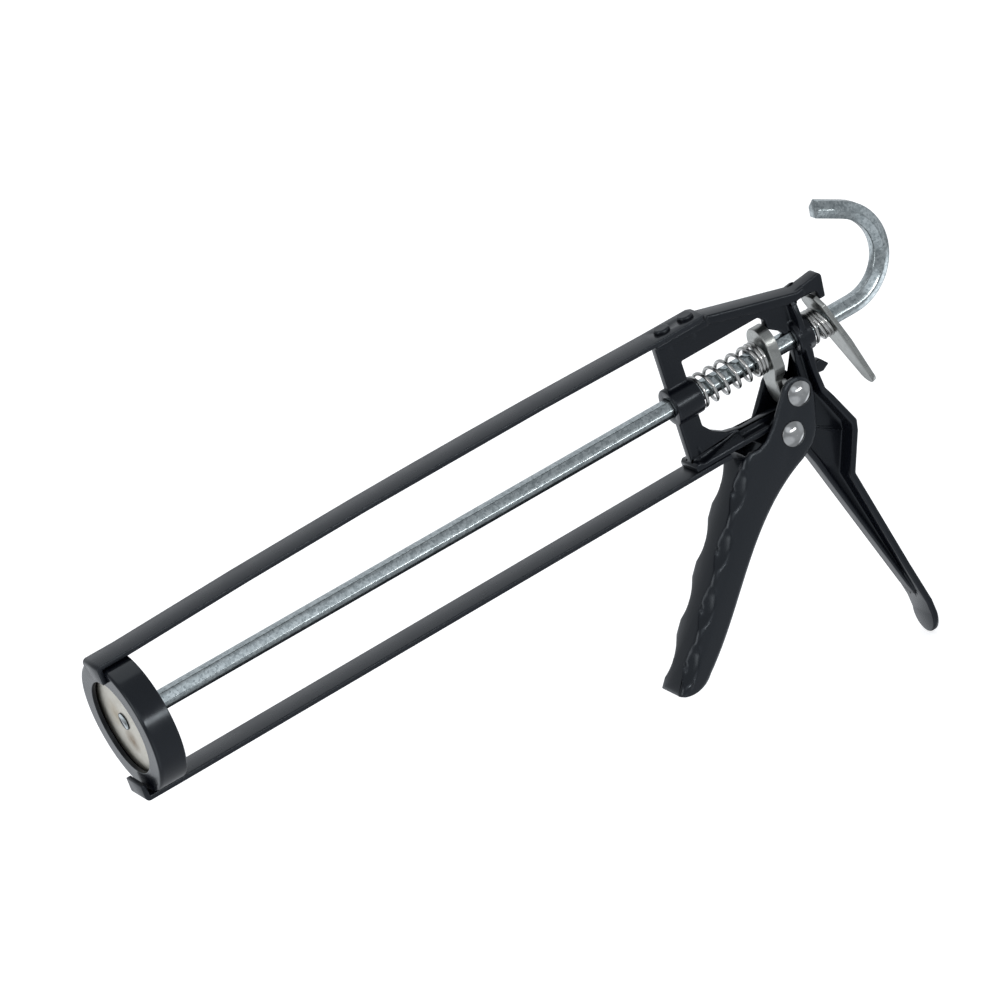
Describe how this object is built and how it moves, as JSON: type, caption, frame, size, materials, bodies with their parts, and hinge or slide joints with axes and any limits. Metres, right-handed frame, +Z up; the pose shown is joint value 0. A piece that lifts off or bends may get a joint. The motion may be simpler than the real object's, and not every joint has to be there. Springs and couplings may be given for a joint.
{
  "type": "caulking gun",
  "caption": "Open-cradle caulking gun: collar, two rails, cast frame with grip, trigger, hooked push rod with plunger, sprung drive and release plates.",
  "frame": {"origin": "centre of the nozzle opening on the front face of the collar", "axes": "+X from the nozzle end along the push rod to the hook, +Z up towards the top rail, +Y across the gun"},
  "size_m": [0.3642, 0.054, 0.1869],
  "materials": {
    "black_enamel": "semi-gloss black stoving enamel",
    "black_gloss_enamel": "gloss black enamel",
    "black_satin_enamel": "satin black enamel",
    "galvanised_steel": "drawn bar, zinc plated, faint spangle",
    "tinned_sheet": "satin pressed sheet",
    "zinc_plate": "satin zinc plating",
    "bright_rivet": "polished nickel plating",
    "spring_wire": "bright drawn wire"
  },
  "bodies": {
    "frame": {"handle_casting": "black_enamel", "front_collar": "black_gloss_enamel", "top_rail": "black_satin_enamel", "bottom_rail": "black_satin_enamel", "top_rail_rivets": "black_satin_enamel", "bottom_rail_rivets": "black_satin_enamel", "thrust_spring": "spring_wire", "release_spring": "spring_wire"},
    "rod": {"push_rod": "galvanised_steel", "plunger_disc": "tinned_sheet", "plunger_washer": "zinc_plate"},
    "trigger": {"trigger": "black_enamel", "trigger_pivot_rivet": "bright_rivet", "pusher_rivet": "bright_rivet", "pusher_sleeve": "zinc_plate", "rivet_washers": "zinc_plate", "pivot_shims": "zinc_plate"},
    "drive_plate": {"drive_plate": "zinc_plate"},
    "release_plate": {"release_plate": "zinc_plate"}
  },
  "joints": [
    {"name": "rod_slide", "type": "slide", "parent": "frame", "child": "rod", "axis": [1, 0, 0], "range_m": [0, 0.242]},
    {"name": "trigger_pivot", "type": "hinge", "parent": "frame", "child": "trigger", "pos_m": [0.2924, 0, -0.0302], "axis": [0, -1, 0], "range_deg": [0, 30], "stiffness_Nm_per_rad": 0.29, "springref_deg": -50.42},
    {"name": "drive_plate_slide", "type": "slide", "parent": "frame", "child": "drive_plate", "axis": [-1, 0, 0], "range_m": [0, 0.0085], "deforming": ["thrust_spring"]},
    {"name": "release_hinge", "type": "hinge", "parent": "frame", "child": "release_plate", "pos_m": [0.3216, 0, 0.014], "axis": [0, 1, 0], "range_deg": [0, 8], "stiffness_Nm_per_rad": 0.12, "springref_deg": -34.38, "deforming": ["release_spring"]}
  ],
  "couplings": [
    {"joint": "drive_plate_slide", "follows": "trigger_pivot", "m_per_rad": 0.0153}
  ]
}
